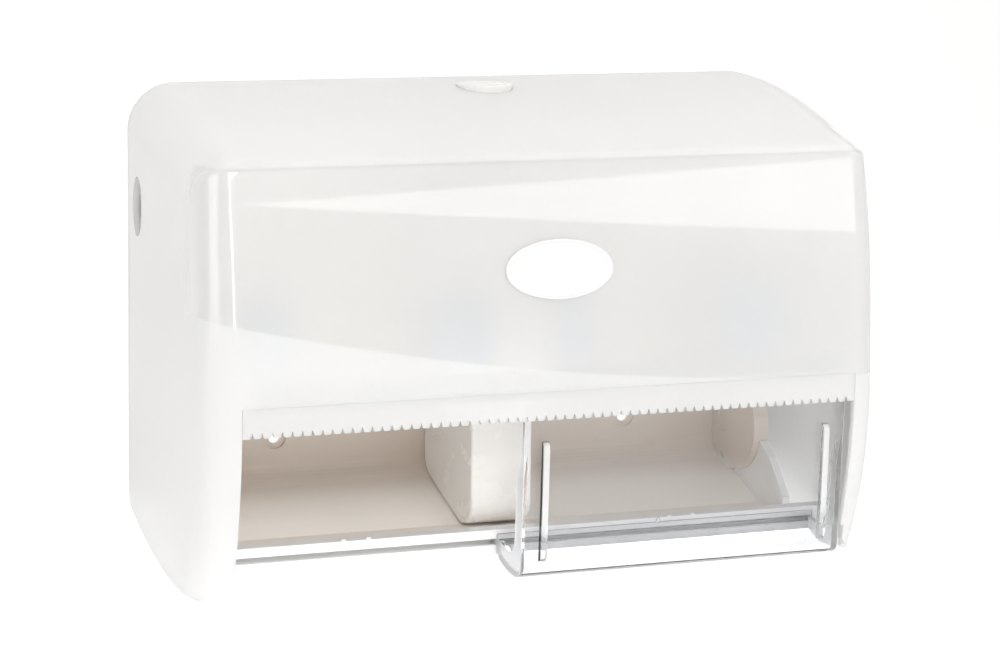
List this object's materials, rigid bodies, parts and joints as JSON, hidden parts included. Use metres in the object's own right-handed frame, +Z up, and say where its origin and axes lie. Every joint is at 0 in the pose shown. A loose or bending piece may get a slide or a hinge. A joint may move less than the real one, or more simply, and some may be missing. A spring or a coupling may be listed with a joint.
{
  "type": "twin toilet roll dispenser",
  "caption": "Wall-mounted frosted plastic dispenser for small toilet rolls side by side, with a hinged cover, toothed tear edge, clear sliding shutter and push-button latch.",
  "frame": {"origin": "centre of the rectangle of wall screw holes, on the wall plane (the back face of the back plate)", "axes": "+X to the right seen from the front, +Y into the wall, +Z up; the front faces -Y"},
  "size_m": [0.3, 0.12, 0.203],
  "materials": {
    "body_plastic": "fine matt, warm pale grey",
    "white_plastic": "satin, opaque warm white",
    "frosted_plastic": "frosted translucent white, glossy and fine-grained areas",
    "hub_plastic": "satin, pale blue-grey",
    "clear_plastic": "polished, clear with a bluish edge",
    "badge_plastic": "polished white",
    "steel": "bright zinc-plated"
  },
  "bodies": {
    "back": {"back_plate": "body_plastic", "centre_post": "white_plastic", "post_screws": "steel", "centre_axle": "steel", "axle_clips": "steel", "hinge_pin_left": "steel", "hinge_pin_right": "steel"},
    "cover": {"cover": "frosted_plastic", "tear_bar": "frosted_plastic", "badge": "badge_plastic", "latch_housing": "white_plastic", "latch_screws": "steel", "latch_spring": "steel"},
    "button": {"latch_button": "white_plastic"},
    "shutter": {"shutter": "clear_plastic"},
    "arm_left": {"arm_left": "frosted_plastic", "arm_axle_left": "steel"},
    "arm_right": {"arm_right": "frosted_plastic", "arm_axle_right": "steel"},
    "hub_left_outer": {"hub_left_outer": "hub_plastic"},
    "hub_left_inner": {"hub_left_inner": "hub_plastic"},
    "hub_right_inner": {"hub_right_inner": "hub_plastic"},
    "hub_right_outer": {"hub_right_outer": "hub_plastic"}
  },
  "joints": [
    {"name": "cover_hinge", "type": "hinge", "parent": "back", "child": "cover", "pos_m": [0, -0.0135, -0.079], "axis": [1, 0, 0], "range_deg": [0, 72]},
    {"name": "shutter_slide", "type": "slide", "parent": "cover", "child": "shutter", "axis": [-1, 0, 0], "range_m": [0, 0.125]},
    {"name": "latch_press", "type": "slide", "parent": "cover", "child": "button", "axis": [0, 0, -1], "range_m": [0, 0.004], "stiffness_N_per_m": 900, "springref_m": -0.004, "deforming": ["latch_spring"]},
    {"name": "arm_left_flex", "type": "hinge", "parent": "back", "child": "arm_left", "pos_m": [-0.124, -0.009, -0.008], "axis": [0, 0, -1], "range_deg": [0, 10], "stiffness_Nm_per_rad": 3.1},
    {"name": "arm_right_flex", "type": "hinge", "parent": "back", "child": "arm_right", "pos_m": [0.124, -0.009, -0.008], "axis": [0, 0, 1], "range_deg": [0, 10], "stiffness_Nm_per_rad": 3.1},
    {"name": "hub_left_outer_spin", "type": "hinge", "parent": "arm_left", "child": "hub_left_outer", "pos_m": [-0.11, -0.062, -0.008], "axis": [1, 0, 0], "continuous": true},
    {"name": "hub_left_inner_spin", "type": "hinge", "parent": "back", "child": "hub_left_inner", "pos_m": [-0.025, -0.062, -0.008], "axis": [1, 0, 0], "continuous": true},
    {"name": "hub_right_inner_spin", "type": "hinge", "parent": "back", "child": "hub_right_inner", "pos_m": [0.025, -0.062, -0.008], "axis": [1, 0, 0], "continuous": true},
    {"name": "hub_right_outer_spin", "type": "hinge", "parent": "arm_right", "child": "hub_right_outer", "pos_m": [0.11, -0.062, -0.008], "axis": [1, 0, 0], "continuous": true}
  ]
}
